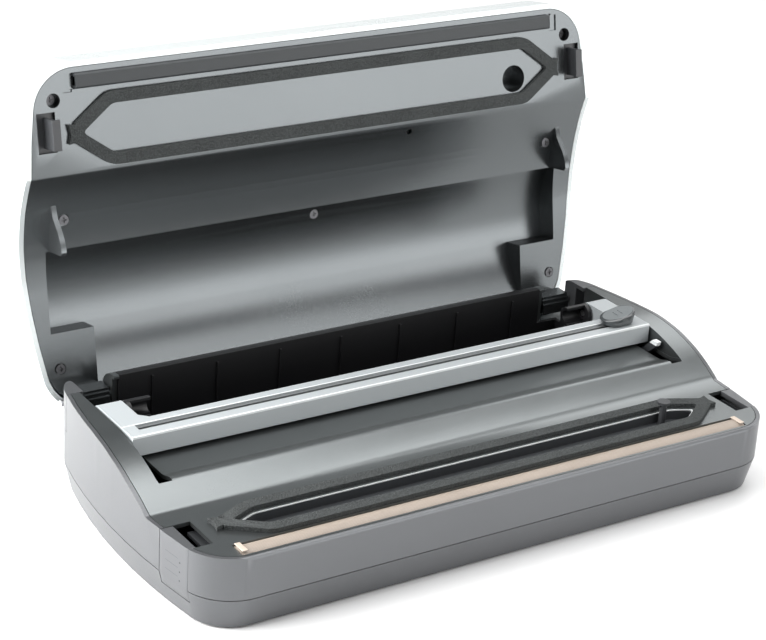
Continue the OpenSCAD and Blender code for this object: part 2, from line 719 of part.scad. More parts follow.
module lid_shell() {
    color("gainsboro") lid_place() difference() {
        union() {
            difference() {
                lid_solid(0);
                lid_solid(lid_wall);
            }
            intersection() {
                lid_solid(1);
                shell_bosses();
            }
        }
        both() for (p = lid_screw_at) translate([p[0], p[1], p[2] - 2]) cylinder(d = 2.8, h = 11.4);
        translate([5, 112, 75]) cylinder(d = 2.8, h = 10);
        for (s = [-1, 1], y = [-11, 11]) translate([panel_c[0] + s * 49, panel_c[1] + y, board_z]) cylinder(d = 2.4, h = 7.5);
        difference() {
            under_rim(-rim_gap, -10);
            box(-220, 220, 198, 230, 61, 100);
        }
        round_box(panel_c[0] - panel_size[0] / 2, panel_c[0] + panel_size[0] / 2,
            panel_c[1] - panel_size[1] / 2, panel_c[1] + panel_size[1] / 2, lid_top_z - 1.5, lid_top_z + 5, 5);
        for (i = [0:key_count - 1]) key_hole(i, lid_top_z - 10, lid_top_z + 2);
        for (i = [0:2]) translate([key_x0 + (i + 0.5) * key_pitch, panel_c[1] + 10.5, lid_top_z - 10]) cylinder(d = 3, h = 12);
    }
}
module key_hole(i, z0, z1) {
    x = key_x0 + i * key_pitch;
    round_box(x - 8.3, x + 8.3, panel_c[1] - 8.3, panel_c[1] + 3.3, z0, z1, 3.3);
}
module cavity(t) {
    // Hollow over the cutter and the roll: wide in front, narrower behind the ridge
    function scoop(p, q, s, n) =
        let (d = q - p, l = norm(d), r = (l * l / 4 + s * s) / (2 * s), m = (p + q) / 2,
             u = [-d[1], d[0]] / l, c = m - u * (r - s), a = asin(l / 2 / r), b = atan2(u[1], u[0]))
        [for (i = [0:n]) let (w = b + a - 2 * a * i / n) c + r * [cos(w), sin(w)]];
    roof = scoop([lip_y + 0.5, 72], [186, 66], 10, 14);
    profile = concat([[lip_y - t, 30], [lip_y - t, 72]], [for (p = roof) [p[0], p[1] + t]],
        [[186 + t, 65], [186 + t, 30]]);
    along_x(profile, -cavity_rear_x - t, cavity_rear_x + t);
    intersection() {
        along_x(profile, -cavity_x - t, cavity_x + t);
        box(-200, 200, 90, ridge_y + t, 20, 100);
    }
}
module liner_plan(z0, z1) { plan(liner_inset, z0, z1, lid_y0, lid_y1 - 1.6); }
module lid_liner() {
    color([0.3, 0.32, 0.33]) lid_place() difference() {
        union() {
            intersection() {
                liner_plan(40, 100);
                difference() {
                    under_rim(-rim_gap - liner_t, 30);
                    under_rim(-rim_gap, 20);
                }
            }
            difference() {
                intersection() {
                    cavity(2.2);
                    liner_plan(40, 100);
                }
                under_rim(-rim_gap, 20);
            }
            // knuckles
            both() translate([knuckle_x0, 0, 0]) rotate([90, 0, 90]) linear_extrude(knuckle_x1 - knuckle_x0) {
                translate([hinge_y, hinge_z]) rotate(lid_open) polygon([[-6.2, -5.2], [-6.2, 1.6], [-5.2, 1.6],
                    [-5.2, 4.2], [-4.2, 4.2], [-4.2, 6.2], [5.6, 6.2], [5.6, -5.2]]);
                translate([hinge_y - 5.1, hinge_z]) square([7.9, top_z + 2 - hinge_z]);
            }
            // fins that drop into the slots
            both() along_x([[76, slope_z(76) + 2], [84, slope_z(84) - 3], [92, 46.5], [98, 43.8], [102.4, 43.4],
                [104.2, 45], [104.2, slope_z(104.2) + 3], [90, slope_z(90) + 3]], fin_x - 1.5, fin_x + 1.5);
            // screw wells and bosses
            both() translate([lid_screw_at[0][0], lid_screw_at[0][1], land_z]) cylinder(d = 11, h = 8);
            // boss for the middle screw, socket for the nozzle
            translate([5, 112, 75.2]) cylinder(d = 8, h = 5);
            translate([socket[0], socket[1], land_z]) cylinder(d = 19.5, h = 14);
        }
        cavity(0);
        both() box(172, 183, pocket_y0 + 2.5, pocket_y1, 40, land_z + 5);
        both() translate([lid_screw_at[0][0], lid_screw_at[0][1], land_z - 1]) cylinder(d = 8, h = 7.4);
        both() for (p = lid_screw_at) translate([p[0], p[1], p[2] - 2]) cylinder(d = 2.8, h = 12);
        both() for (i = [1, 2]) translate([lid_screw_at[i][0], lid_screw_at[i][1], lid_screw_at[i][2] - 4]) cylinder(d = 7, h = 5.2);
        translate([5, 112, 60]) cylinder(d = 2.8, h = 30);
        translate([5, 112, 60]) cylinder(d = 6.2, h = 16.8);
        translate([socket[0], socket[1], land_z - 1]) cylinder(d = 16.5, h = 13.4);
        translate([58, 65, 40]) cylinder(d = 3.4, h = 12);
        both() rod_x(hinge_y, hinge_z, 3, knuckle_x0 - 1, knuckle_x1 + 1);
        // seats for the gasket and the pressure strip
        translate([0, 0, land_z - 5]) linear_extrude(6) gasket_ring(true);
        box(-162.3, 162.3, 4.2, 13.3, 40, land_z + 1.2);
        both() box(161, 166.2, 5, 14.7, 40, land_z + 0.9);
    }
}
module hinge_bushes() {
    color("ivory") lid_place() both() difference() {
        rod_x(hinge_y, hinge_z, 3, knuckle_x0, knuckle_x1);
        rod_x(hinge_y, hinge_z, pin_r + 0.05, knuckle_x0 - 1, knuckle_x1 + 1);
    }
}
module upper_gasket() {
    color([0.2, 0.22, 0.22]) lid_place() translate([0, 0, land_z - gasket_proud])
        linear_extrude(gasket_proud + 1) gasket_ring(true);
}
module pressure_strip() {
    // C-section silicone strip
    color([0.28, 0.31, 0.32]) lid_place() difference() {
        along_x([[4.4, land_z + 1.2], [4.4, land_z - 1.6], [5.4, land_z - 2.6], [12.1, land_z - 2.6],
                 [13.1, land_z - 1.6], [13.1, land_z + 1.2]], -159.6, 159.6);
        along_x([[6.6, land_z + 0.6], [6.6, land_z - 1.2], [10.9, land_z - 1.2], [10.9, land_z + 0.6]], -160, 160);
    }
}
module latch_hooks() {
    color([0.75, 0.75, 0.75]) lid_place() both() union() {
        box(176, 178.3, 27, 44, 33.5, land_z + 2.5);
        box(173.6, 176.1, 27, 44, 33.5, 35.4);
        box(169, 183, 24.2, 48, land_z + 2.4, land_z + 4.4);
    }
}
module screw_down(head_z) {
    difference() {
        translate([0, 0, head_z - 1.8]) cylinder(d = 5.8, h = 1.8);
        for (a = [0, 90]) rotate([0, 0, a]) translate([-1.6, -0.35, head_z - 1.9]) cube([3.2, 0.7, 1]);
    }
    translate([0, 0, head_z - e]) cylinder(d = 2.8, h = 8);
}
module lid_screws() {
    color("silver") lid_place() {
        both() for (p = lid_screw_at) translate([p[0], p[1], 0]) screw_down(p == lid_screw_at[0] ? land_z + 6.4 : p[2] + 1.2);
        translate([5, 112, 0]) screw_down(76.8);
    }
}

// Controls on the lid's upper face
module control_panel() {
    color([0.05, 0.05, 0.06]) lid_place() difference() {
        round_box(panel_c[0] - panel_size[0] / 2, panel_c[0] + panel_size[0] / 2,
            panel_c[1] - panel_size[1] / 2, panel_c[1] + panel_size[1] / 2, lid_top_z - 1.5, lid_top_z + 0.2, 5);
        for (i = [0:key_count - 1]) key_hole(i, lid_top_z - 5, lid_top_z + 2);
        for (i = [0:2]) translate([key_x0 + (i + 0.5) * key_pitch, panel_c[1] + 10.5, 80]) cylinder(d = 3, h = 20);
    }
}
module key(i) {
    x = key_x0 + i * key_pitch;
    union() {
        round_box(x - 8, x + 8, panel_c[1] - 8, panel_c[1] + 3, lid_top_z - 3.4, key_z, 3);
        round_box(x - 9.6, x + 9.6, panel_c[1] - 9.6, panel_c[1] + 4.6, lid_top_z - 4.6, lid_top_z - 3.3, 2);
        translate([x, panel_c[1] - 2.5, lid_top_z - 6.5]) cylinder(d = 4, h = 2.4);
    }
}
module key_seal() { color("gainsboro") lid_place() key(0); }
module key_vacuum() { color("gainsboro") lid_place() key(1); }
module key_mode() { color("gainsboro") lid_place() key(2); }
module key_stop() { color("firebrick") lid_place() key(3); }
module control_board() {
    color("darkgreen") lid_place() union() {
        difference() {
            box(panel_c[0] - 52, panel_c[0] + 52, panel_c[1] - 14, panel_c[1] + 14, board_z, board_z + 1.6);
            for (s = [-1, 1], y = [-11, 11]) translate([panel_c[0] + s * 49, panel_c[1] + y, board_z - 1]) cylinder(d = 2.4, h = 4);
        }
        for (i = [0:key_count - 1]) translate([key_x0 + i * key_pitch, panel_c[1] - 2.5, board_z + 1.5]) cylinder(d = 5, h = 0.2);
        box(panel_c[0] - 20, panel_c[0] + 10, panel_c[1] + 2, panel_c[1] + 12, board_z - 2.4, board_z);
    }
}
module board_screws() {
    color("silver") lid_place() for (s = [-1, 1], y = [-11, 11]) translate([panel_c[0] + s * 49, panel_c[1] + y, 0]) {
        translate([0, 0, board_z - 1.6]) cylinder(d = 4.4, h = 1.6);
        translate([0, 0, board_z - e]) cylinder(d = 2.4, h = 7.4);
    }
}
module status_lights() {
    color("palegreen") lid_place() for (i = [0:2])
        translate([key_x0 + (i + 0.5) * key_pitch, panel_c[1] + 10.5, board_z + 1.6]) cylinder(d = 3, h = 8.1);
}

lower_casing();
casing_skirt();
deck();
roll_tray();
vacuum_tray();
lower_gasket();
element_bar();
heating_wire();
ptfe_tape();
tape_clips();
suction_nozzle();
hinge_pins();
hinge_caps();
arm_brackets();
arm_pins();
feet();
casing_screws();
pump_motor();
pump_body();
pump_rotor();
vacuum_hose();
release_valve();
transformer_core();
transformer_coil();
main_board();
power_inlet();
lid_switch();
switch_lever();
latch_springs();
cutter_frame();
cutter_insert();
cutter_knob();
cutter_carriage();
cutter_blade();
release_button_left();
release_button_right();
catch_plate_left();
catch_plate_right();
lid_shell();
lid_liner();
upper_gasket();
pressure_strip();
latch_hooks();
lid_screws();
hinge_bushes();
control_panel();
control_board();
board_screws();
status_lights();
key_seal();
key_vacuum();
key_mode();
key_stop();
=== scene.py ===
# %% [markdown]
# # A countertop vacuum sealer with its lid open
# The solid frame gives every part its size and its place, and says which body it moves with.
# This lesson gives the parts their looks: softened edges, moulded grain, foam, woven tape,
# steel, and a studio around them. Lengths are in metres, and mm turns millimetres into them.

# %% Load the frame
import json
import math
import bpy
from mathutils import Vector, Matrix

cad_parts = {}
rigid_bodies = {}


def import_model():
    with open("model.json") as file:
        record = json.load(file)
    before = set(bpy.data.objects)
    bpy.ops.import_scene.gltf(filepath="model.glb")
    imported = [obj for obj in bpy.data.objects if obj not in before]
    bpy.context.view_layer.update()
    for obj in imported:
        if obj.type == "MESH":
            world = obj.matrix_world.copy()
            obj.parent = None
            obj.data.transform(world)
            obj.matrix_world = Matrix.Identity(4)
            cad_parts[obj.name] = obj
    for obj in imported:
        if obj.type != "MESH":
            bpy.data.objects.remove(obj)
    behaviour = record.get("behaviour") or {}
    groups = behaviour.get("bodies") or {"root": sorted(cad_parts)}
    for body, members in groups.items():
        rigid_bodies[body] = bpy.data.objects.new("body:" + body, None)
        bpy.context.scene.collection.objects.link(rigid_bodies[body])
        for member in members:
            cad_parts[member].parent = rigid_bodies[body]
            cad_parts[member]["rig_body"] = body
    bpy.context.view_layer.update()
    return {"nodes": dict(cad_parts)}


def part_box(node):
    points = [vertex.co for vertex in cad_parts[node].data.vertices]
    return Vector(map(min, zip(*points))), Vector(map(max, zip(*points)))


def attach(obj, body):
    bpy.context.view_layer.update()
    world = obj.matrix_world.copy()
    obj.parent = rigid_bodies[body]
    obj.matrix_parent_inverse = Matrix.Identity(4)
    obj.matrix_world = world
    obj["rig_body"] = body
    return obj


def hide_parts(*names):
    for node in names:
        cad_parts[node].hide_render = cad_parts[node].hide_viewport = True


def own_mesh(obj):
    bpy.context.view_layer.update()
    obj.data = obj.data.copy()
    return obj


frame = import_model()
nodes = frame["nodes"]
mm = 0.001

# %% [markdown]
# ## The camera
# It comes first, because everything is judged from it. It stands in front of the machine's
# left corner, a little above it, with a long lens, so the parallel edges stay nearly parallel.
# The angles are turned into three axes, and these are the columns of its rotation.

# %% Camera
front_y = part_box("lower_casing")[0].y
camera_place = Vector((-0.63411, -0.80462 + front_y, 0.57790))
azimuth, elevation, roll = math.radians(-33.244), math.radians(23.086), math.radians(3.183)
sensor_width, lens_length = 36, 100.8
sideways_shift, upward_shift = 0.0293, -0.0161
ahead = Vector((-math.sin(azimuth) * math.cos(elevation), math.cos(azimuth) * math.cos(elevation),
                -math.sin(elevation)))
level_right = ahead.cross(Vector((0, 0, 1))).normalized()
level_up = level_right.cross(ahead)
right = level_right * math.cos(roll) + level_up * math.sin(roll)
up = level_up * math.cos(roll) - level_right * math.sin(roll)
bpy.ops.object.select_all(action="DESELECT")
bpy.ops.object.camera_add()
camera = bpy.context.object
camera.name = "studio_camera"
turn = Matrix((right, up, -ahead)).transposed().to_4x4()
camera.matrix_world = Matrix.Translation(camera_place) @ turn
camera.data.sensor_width = sensor_width
camera.data.lens = lens_length
camera.data.shift_x = sideways_shift
camera.data.shift_y = upward_shift
camera.data.clip_end = 20
bpy.context.scene.camera = camera
print("camera at", [round(v, 3) for v in camera.location], "front edge at y", round(front_y, 4))

# %% [markdown]
# ## Shader maths in Python
# A material is a set of nodes and wires. Writing it as Python expressions keeps it readable:
# one class wraps a socket, and each operator on it adds a Math node. One method of the
# material adds any other node.

# %% Sockets with operators
class Wire:
    """One output socket. Sums, products and comparisons of wires become Math nodes."""

    def __init__(self, paint, socket):
        self.paint, self.socket = paint, socket

    def maths(self, operation, *values):
        return self.paint.add("ShaderNodeMath", {"operation": operation}, dict(enumerate(values)))

    def __add__(self, other): return self.maths("ADD", self, other)
    def __radd__(self, other): return self.maths("ADD", other, self)
    def __sub__(self, other): return self.maths("SUBTRACT", self, other)
    def __rsub__(self, other): return self.maths("SUBTRACT", other, self)
    def __mul__(self, other): return self.maths("MULTIPLY", self, other)
    def __rmul__(self, other): return self.maths("MULTIPLY", other, self)
    def __truediv__(self, other): return self.maths("DIVIDE", self, other)
    def __gt__(self, other): return self.maths("GREATER_THAN", self, other)
    def __lt__(self, other): return self.maths("LESS_THAN", self, other)
    def sine(self): return self.maths("SINE", self)
    def size(self): return self.maths("ABSOLUTE", self)
    def clamped(self): return self.maths("MINIMUM", self.maths("MAXIMUM", self, 0), 1)


class Paint:
    def __init__(self, name):
        self.material = bpy.data.materials.new(name)
        self.material.use_nodes = True
        self.tree = self.material.node_tree
        self.shader = next(n for n in self.tree.nodes if n.type == "BSDF_PRINCIPLED")
        self.place = self.add("ShaderNodeTexCoord", {}, {}, "Object")

    def add(self, kind, settings, inputs, output=0):
        node = self.tree.nodes.new(kind)
        for key, value in settings.items():
            setattr(node, key, value)
        for key, value in inputs.items():
            self.plug(node.inputs[key], value)
        return Wire(self, node.outputs[output])

    def plug(self, socket, value):
        if isinstance(value, Wire):
            self.tree.links.new(value.socket, socket)
        elif isinstance(value, tuple) and socket.type == "RGBA":
            socket.default_value = (*value, 1)
        else:
            socket.default_value = value

    def noise(self, scale, detail=3, rough=0.5, stretch=None):
        spot = self.place
        if stretch:
            spot = self.add("ShaderNodeMapping", {}, {"Vector": spot, "Scale": stretch})
        return self.add("ShaderNodeTexNoise", {}, {
            "Vector": spot, "Scale": scale, "Detail": detail, "Roughness": rough})

    def cells(self, scale, feature="F1"):
        return self.add("ShaderNodeTexVoronoi", {"feature": feature}, {
            "Vector": self.place, "Scale": scale}, "Distance")

    def blend(self, amount, dark, light):
        return self.add("ShaderNodeMix", {"data_type": "RGBA"}, {
            0: amount, 6: dark, 7: light}, 2)

    def bump(self, height, distance, strength=1.0):
        return self.add("ShaderNodeBump", {}, {
            "Height": height, "Distance": distance, "Strength": strength})

    def axes(self):
        split = self.add("ShaderNodeSeparateXYZ", {}, {"Vector": self.place})
        return [Wire(self, output) for output in split.socket.node.outputs]

    def finish(self, **sockets):
        for name, value in sockets.items():
            self.plug(self.shader.inputs[name.replace("_", " ").title()], value)
        return self.material


print("shader classes ready")

# %% [markdown]
# ## Moulded plastic
# Most of the machine is moulded in satin plastic. The mould is spark-eroded, so the surface
# carries a fine even grain that breaks up reflections, and handling leaves patches that are a
# little glossier. Three things vary: the grain (bump), the gloss (roughness) and, slightly,
# the colour.

# %% A recipe for moulded plastic
def moulded(name, colour, rough, grain=0.03 * mm, grain_scale=2600, patch=0.06, tint=0.12,
            coat=0.0, metallic=0.0, accent=None, accent_colour=None):
    """Satin plastic: grain is its depth, patch its change of gloss, tint its change of colour."""
    paint = Paint(name)
    paint.shader.inputs["Metallic"].default_value = metallic
    fine = paint.noise(grain_scale, 2, 0.6)
    broad = paint.noise(9, 3, 0.55)
    specks = paint.cells(grain_scale * 0.7)
    dark = tuple(c * (1 - tint) for c in colour)
    light = tuple(min(1, c * (1 + tint)) for c in colour)
    body_colour = paint.blend(broad * 0.7 + fine * 0.3, dark, light)
    if accent:
        body_colour = paint.blend(accent(paint), body_colour, accent_colour)
    return paint.finish(
        base_color=body_colour,
        roughness=(broad - 0.5) * patch * 2 + rough + (fine - 0.5) * 0.05,
        normal=paint.bump(fine * 0.7 + specks * 0.3, grain),
        coat_weight=coat, coat_roughness=0.25)


print("recipe ready:", moulded.__name__)

# %% [markdown]
# ## Accents
# Some mouldings carry a second colour in one place: a worn tip, printed marks, and painted
# highlights on a rim and on an edge.
# Each accent is a mask worked out from the place on the surface, 1 where the second colour
# goes and 0 elsewhere. Depths are measured from the front face of the machine.

# %% Masks for the accents
tray_rim_height = 41.5 * mm
lever_tip_height = 54.6 * mm


def painted_rim_highlight(paint):
    """A painted highlight on the top face of the vacuum tray, above its well."""
    return paint.axes()[2] > tray_rim_height


def lever_tip(paint):
    """The end of the switch lever that stands out of its slot."""
    return paint.axes()[2] > lever_tip_height


def painted_bar_highlight(paint):
    """A painted highlight along the front edge of the cutter bar, and along the fine ridge behind
    it.
    """
    _, y, z = paint.axes()
    front_edge = (y < front_y + 108.6 * mm) * (z > 62.2 * mm)
    ridge = (y > front_y + 120.9 * mm) * (y < front_y + 121.7 * mm) * (z > 63.0 * mm)
    return (front_edge + ridge).clamped() * 0.75


def knob_rim(paint):
    """The outside of an oval on the cutter knob."""
    x, y, _ = paint.axes()
    across = (x - 158 * mm) / (11.6 * mm)
    deep = (y - (front_y + 117.7 * mm)) / (7.7 * mm)
    return (across * across + deep * deep > 0.78) * 0.85


def grip_marks(paint):
    """Three dots and three fine lines on the outer face of each release button."""
    mark_heights = (31.7, 26.4, 21.3)
    dot_radius, line_half_length, line_half_width = 0.55 * mm, 5.5 * mm, 0.16 * mm
    _, y, z = paint.axes()
    dot_y, line_y = y - (front_y + 28.4 * mm), y - (front_y + 35.5 * mm)
    rows = []
    for height in mark_heights:
        dot_z, line_z = z - height * mm, z - (height + 1.9) * mm
        dot = dot_y * dot_y + dot_z * dot_z < dot_radius ** 2
        line = (line_z.size() < line_half_width) * (line_y.size() < line_half_length)
        rows.append(dot + line * 0.5)
    return sum(rows).clamped() * 0.8


print("accents:", [mask.__name__ for mask in (painted_rim_highlight, lever_tip, painted_bar_highlight, knob_rim, grip_marks)])

# %% [markdown]
# ## Moulded finishes
# The casing and the lid's lining are a grey with metal flake in it, so they take a high
# metallic value and mirror the panels softly. The wells and the cutter's moving parts are
# plain dark plastic, and the outside of the lid is a pale silver under a thin clear coat.

# %% Moulded finishes
near_black, rim_highlight_colour = (0.02, 0.02, 0.022), (0.62, 0.64, 0.64)
casing_grey = moulded("casing_grey", (0.13, 0.134, 0.14), 0.33, metallic=0.6, tint=0.06)
deck_grey = moulded("deck_grey", (0.17, 0.182, 0.184), 0.3, metallic=0.88, tint=0.08)
liner_grey = moulded("liner_grey", (0.125, 0.134, 0.138), 0.25, metallic=0.9, tint=0.05)
button_grey = moulded("button_grey", (0.13, 0.134, 0.14), 0.34, metallic=0.6, tint=0.06,
                      accent=grip_marks, accent_colour=near_black)
# The vacuum tray's accent is a painted highlight along its top rim.
well_grey = moulded("well_grey", (0.045, 0.048, 0.052), 0.35, tint=0.1,
                    accent=painted_rim_highlight, accent_colour=rim_highlight_colour)
lid_silver = moulded("lid_silver", (0.6, 0.64, 0.64), 0.28, grain=0.01 * mm, tint=0.03,
                     coat=0.3, metallic=0.3)
# The cutter frame's accent is a painted highlight on the bar's front edge and its ridge.
frame_grey = moulded("frame_grey", (0.36, 0.385, 0.395), 0.36, tint=0.05,
                     accent=painted_bar_highlight, accent_colour=(0.8, 0.82, 0.82))
deep_black = moulded("deep_black", (0.006, 0.006, 0.007), 0.45, grain=0.05 * mm, tint=0.2)
dark_moulding = moulded("dark_moulding", (0.035, 0.037, 0.04), 0.4)
track_grey = moulded("track_grey", (0.14, 0.148, 0.15), 0.4)
knob_grey = moulded("knob_grey", (0.17, 0.185, 0.19), 0.2, grain=0.008 * mm, coat=0.5,
                    accent=knob_rim, accent_colour=(0.03, 0.034, 0.036))
lever_dark = moulded("lever_dark", (0.035, 0.037, 0.04), 0.4,
                     accent=lever_tip, accent_colour=(0.7, 0.72, 0.72))
ivory = moulded("ivory", (0.75, 0.74, 0.7), 0.35, tint=0.04)
key_silver = moulded("key_silver", (0.55, 0.56, 0.57), 0.3, grain=0.01 * mm, tint=0.04, coat=0.2)
key_red = moulded("key_red", (0.45, 0.03, 0.025), 0.3, grain=0.01 * mm, tint=0.08, coat=0.2)
panel_black = moulded("panel_black", (0.012, 0.012, 0.014), 0.12, grain=0.004 * mm, coat=0.5)
resin_brown = moulded("resin_brown", (0.2, 0.12, 0.07), 0.5)
clip_beige = moulded("clip_beige", (0.5, 0.42, 0.35), 0.45)
foot_black = moulded("foot_black", (0.015, 0.015, 0.015), 0.75, grain=0.1 * mm, grain_scale=1400)
hose_clear = moulded("hose_clear", (0.55, 0.56, 0.53), 0.25, grain=0.01 * mm, coat=0.2)
valve_blue = moulded("valve_blue", (0.05, 0.11, 0.25), 0.35)
print("moulded finishes:", len(bpy.data.materials))

# %% [markdown]
# ## Foam, silicone and tape
# The gaskets are closed-cell foam: thousands of small cells, cut open at the surface, so it is
# speckled and dead matt. The pressure strip is silicone with a faint bloom. The tape over the
# heating wire is glass cloth coated in a slippery tan resin, and its fine weave shows.

# %% Foam, silicone and tape
def foam_finish():
    paint = Paint("cell_foam")
    cells = paint.cells(1150)
    large = paint.cells(420)
    broad = paint.noise(60, 3)
    pores = (1 - cells * 1.5).clamped()
    speckle = (pores * 0.65 + broad * 0.35) * 0.9
    return paint.finish(
        base_color=paint.blend(speckle, (0.01, 0.012, 0.012), (0.075, 0.083, 0.083)),
        roughness=pores * 0.1 + 0.78,
        normal=paint.bump(cells * 0.6 + large * 0.4, 0.6 * mm))


def silicone_finish():
    paint = Paint("grey_silicone")
    bloom = paint.noise(45, 4, 0.6, (0.3, 1, 1))
    fine = paint.noise(1800, 2)
    return paint.finish(
        base_color=paint.blend(bloom, (0.02, 0.023, 0.025), (0.042, 0.047, 0.05)),
        roughness=bloom * 0.15 + 0.45,
        normal=paint.bump(fine, 0.04 * mm))


def tape_finish():
    thread_pitch = 0.95 * mm
    paint = Paint("glass_tape")
    along, across, _ = paint.axes()
    turns = 2 * math.pi / thread_pitch
    warp = (along * turns).sine()
    weft = (across * turns).sine()
    weave = warp * weft * 0.5 + 0.5
    stain = paint.noise(38, 4, 0.6, (0.4, 1, 1))
    colour = paint.blend(weave * 0.5 + stain * 0.5, (0.2, 0.165, 0.135), (0.42, 0.355, 0.3))
    return paint.finish(base_color=colour, roughness=weave * 0.12 + 0.42,
                        normal=paint.bump(weave, 0.09 * mm))


foam = foam_finish()
silicone = silicone_finish()
tape = tape_finish()
print("soft finishes:", foam.name, silicone.name, tape.name)

# %% [markdown]
# ## Metals and boards
# Pins and screws are drawn steel with fine scratches. The motor can is the same steel. The
# coil is enamelled wire, wound in fine turns, and the boards are green laminate.

# %% Metals and boards
def metal(name, colour, rough, scratch=(1, 14, 14), depth=0.01 * mm):
    """Bare metal: scratch stretches its fine lines along an axis, depth is how deep they are."""
    paint = Paint(name)
    lines = paint.noise(700, 2, 0.6, scratch)
    broad = paint.noise(50, 3)
    paint.shader.inputs["Metallic"].default_value = 1
    return paint.finish(
        base_color=paint.blend(broad, tuple(c * 0.82 for c in colour), colour),
        roughness=lines * 0.16 + rough, normal=paint.bump(lines, depth))


def board_finish():
    paint = Paint("board_green")
    tracks = paint.cells(260, "SMOOTH_F1")
    return paint.finish(
        base_color=paint.blend((tracks * 2.2).clamped(), (0.006, 0.07, 0.025), (0.012, 0.13, 0.05)),
        roughness=tracks * 0.3 + 0.25, normal=paint.bump(tracks, 0.05 * mm))


def lens_finish():
    paint = Paint("light_lens")
    haze = paint.noise(400, 2)
    return paint.finish(base_color=paint.blend(haze, (0.3, 0.5, 0.3), (0.45, 0.68, 0.42)),
                        roughness=haze * 0.1 + 0.12)


steel = metal("drawn_steel", (0.62, 0.62, 0.63), 0.2)
black_steel = metal("blackened_steel", (0.1, 0.1, 0.105), 0.3)
brass = metal("turned_brass", (0.72, 0.52, 0.22), 0.22)
varnished_core = metal("varnished_core", (0.16, 0.18, 0.2), 0.35, (18, 1, 1), 0.04 * mm)
coil_wire = metal("coil_wire", (0.66, 0.28, 0.12), 0.25, (1, 1, 30), 0.08 * mm)
board_green = board_finish()
light_lens = lens_finish()
print("all finishes:", len(bpy.data.materials))

# %% [markdown]
# ## Soft edges on the moulded parts
# A real moulding has no knife edges. Each solid is loose triangles, so a copy of it is merged,
# its flat faces are joined up again, and a narrow bevel catches the light along its edges.
# The copy takes the place of the solid, and rides the same body. Three helpers do this, and
# the cells after them list the parts, each with its finish and the width of its bevel.


def pick(piece):
    bpy.ops.object.select_all(action="DESELECT")
    piece.select_set(True)
    bpy.context.view_layer.objects.active = piece


def clean_copy(node):
    """A free copy of a part's solid, with its loose triangles merged into flat faces."""
    piece = nodes[node].copy()
    piece.data = nodes[node].data.copy()
    piece.parent = None
    piece.name = node + "_moulding"
    for key in list(piece.keys()):
        del piece[key]
    bpy.context.scene.collection.objects.link(piece)
    pick(piece)
    bpy.ops.object.mode_set(mode="EDIT")
    bpy.ops.mesh.select_all(action="SELECT")
    bpy.ops.mesh.remove_doubles(threshold=0.004 * mm)
    bpy.ops.mesh.dissolve_limited(angle_limit=math.radians(0.6))
    bpy.ops.object.mode_set(mode="OBJECT")
    return piece


def round_edges(piece, width, segments, angle):
    """A bevel on each edge sharper than the angle, and shading that stays even across it."""
    edge = piece.modifiers.new("soft_edges", "BEVEL")
    edge.width = width
    edge.segments = segments
    edge.limit_method = "ANGLE"
    edge.angle_limit = math.radians(angle)
    edge.harden_normals = False
    edge.miter_outer = "MITER_ARC"
    bpy.ops.object.modifier_apply(modifier=edge.name)
    bpy.ops.object.shade_smooth_by_angle(angle=math.radians(angle))
    even = piece.modifiers.new("even_shading", "WEIGHTED_NORMAL")
    even.keep_sharp = True
    bpy.ops.object.modifier_apply(modifier=even.name)


def softened(node, finish, width, segments=2, angle=32):
    """The part with soft edges and its finish, in place of its solid. Width 0 keeps it sharp."""
    piece = clean_copy(node)
    if width:
        round_edges(piece, width, segments, angle)
    else:
        bpy.ops.object.shade_smooth_by_angle(angle=math.radians(angle))
    piece.data.materials.clear()
    piece.data.materials.append(finish)
    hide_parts(node)
    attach(piece, nodes[node]["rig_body"])
    print(piece.name, len(piece.data.polygons), "faces")
    return piece


# %% [markdown]
# ### The base
# The casing is two shells and a deck, with a release button let into each side. The trays
# drop into the deck.

# %% Base, buttons and trays
softened("casing_skirt", casing_grey, 0.5 * mm)
softened("deck", deck_grey, 0.35 * mm)
softened("lower_casing", casing_grey, 0.5 * mm)
softened("hinge_caps", casing_grey, 0.4 * mm)
softened("release_button_left", button_grey, 0.3 * mm)
softened("release_button_right", button_grey, 0.3 * mm)
softened("roll_tray", deep_black, 0.25 * mm)
softened("vacuum_tray", well_grey, 0.25 * mm)

# %% [markdown]
# ### The lid
# A pale shell outside, and a grey lining that holds the ribs, the fins and the hinge knuckles.

# %% Lid
softened("lid_shell", lid_silver, 0.4 * mm)
softened("lid_liner", liner_grey, 0.4 * mm)

# %% [markdown]
# ### The cutter
# The bar's long edges are rounder than those of the other mouldings, and its knob is rounder
# still. The arms turn in black brackets.

# %% Cutter
softened("cutter_frame", frame_grey, 1.1 * mm, 4)
softened("cutter_insert", track_grey, 0.15 * mm)
softened("cutter_carriage", dark_moulding, 0.15 * mm)
softened("cutter_knob", knob_grey, 0.6 * mm, 3, 25)
softened("arm_brackets", deep_black, 0.4 * mm)

# %% [markdown]
# ### Sealing parts and latches
# The strip on the lid presses the bag on the tape. The tape is too thin for a bevel. The
# nozzle draws the air out of the tray, and the hooks on the lid catch the plates in the base.

# %% Sealing parts and latches
softened("suction_nozzle", dark_moulding, 0.2 * mm)
softened("latch_hooks", dark_moulding, 0.25 * mm)
softened("catch_plate_left", dark_moulding, 0.15 * mm)
softened("catch_plate_right", dark_moulding, 0.15 * mm)
strip = softened("pressure_strip", silicone, 0.5 * mm, 3)
softened("ptfe_tape", tape, 0)
softened("tape_clips", clip_beige, 0.2 * mm)
softened("element_bar", resin_brown, 0.2 * mm)

# %% [markdown]
# ### Switch, inlet, keys and feet
# The last mouldings are small. The stop key is red, and the others are silver.

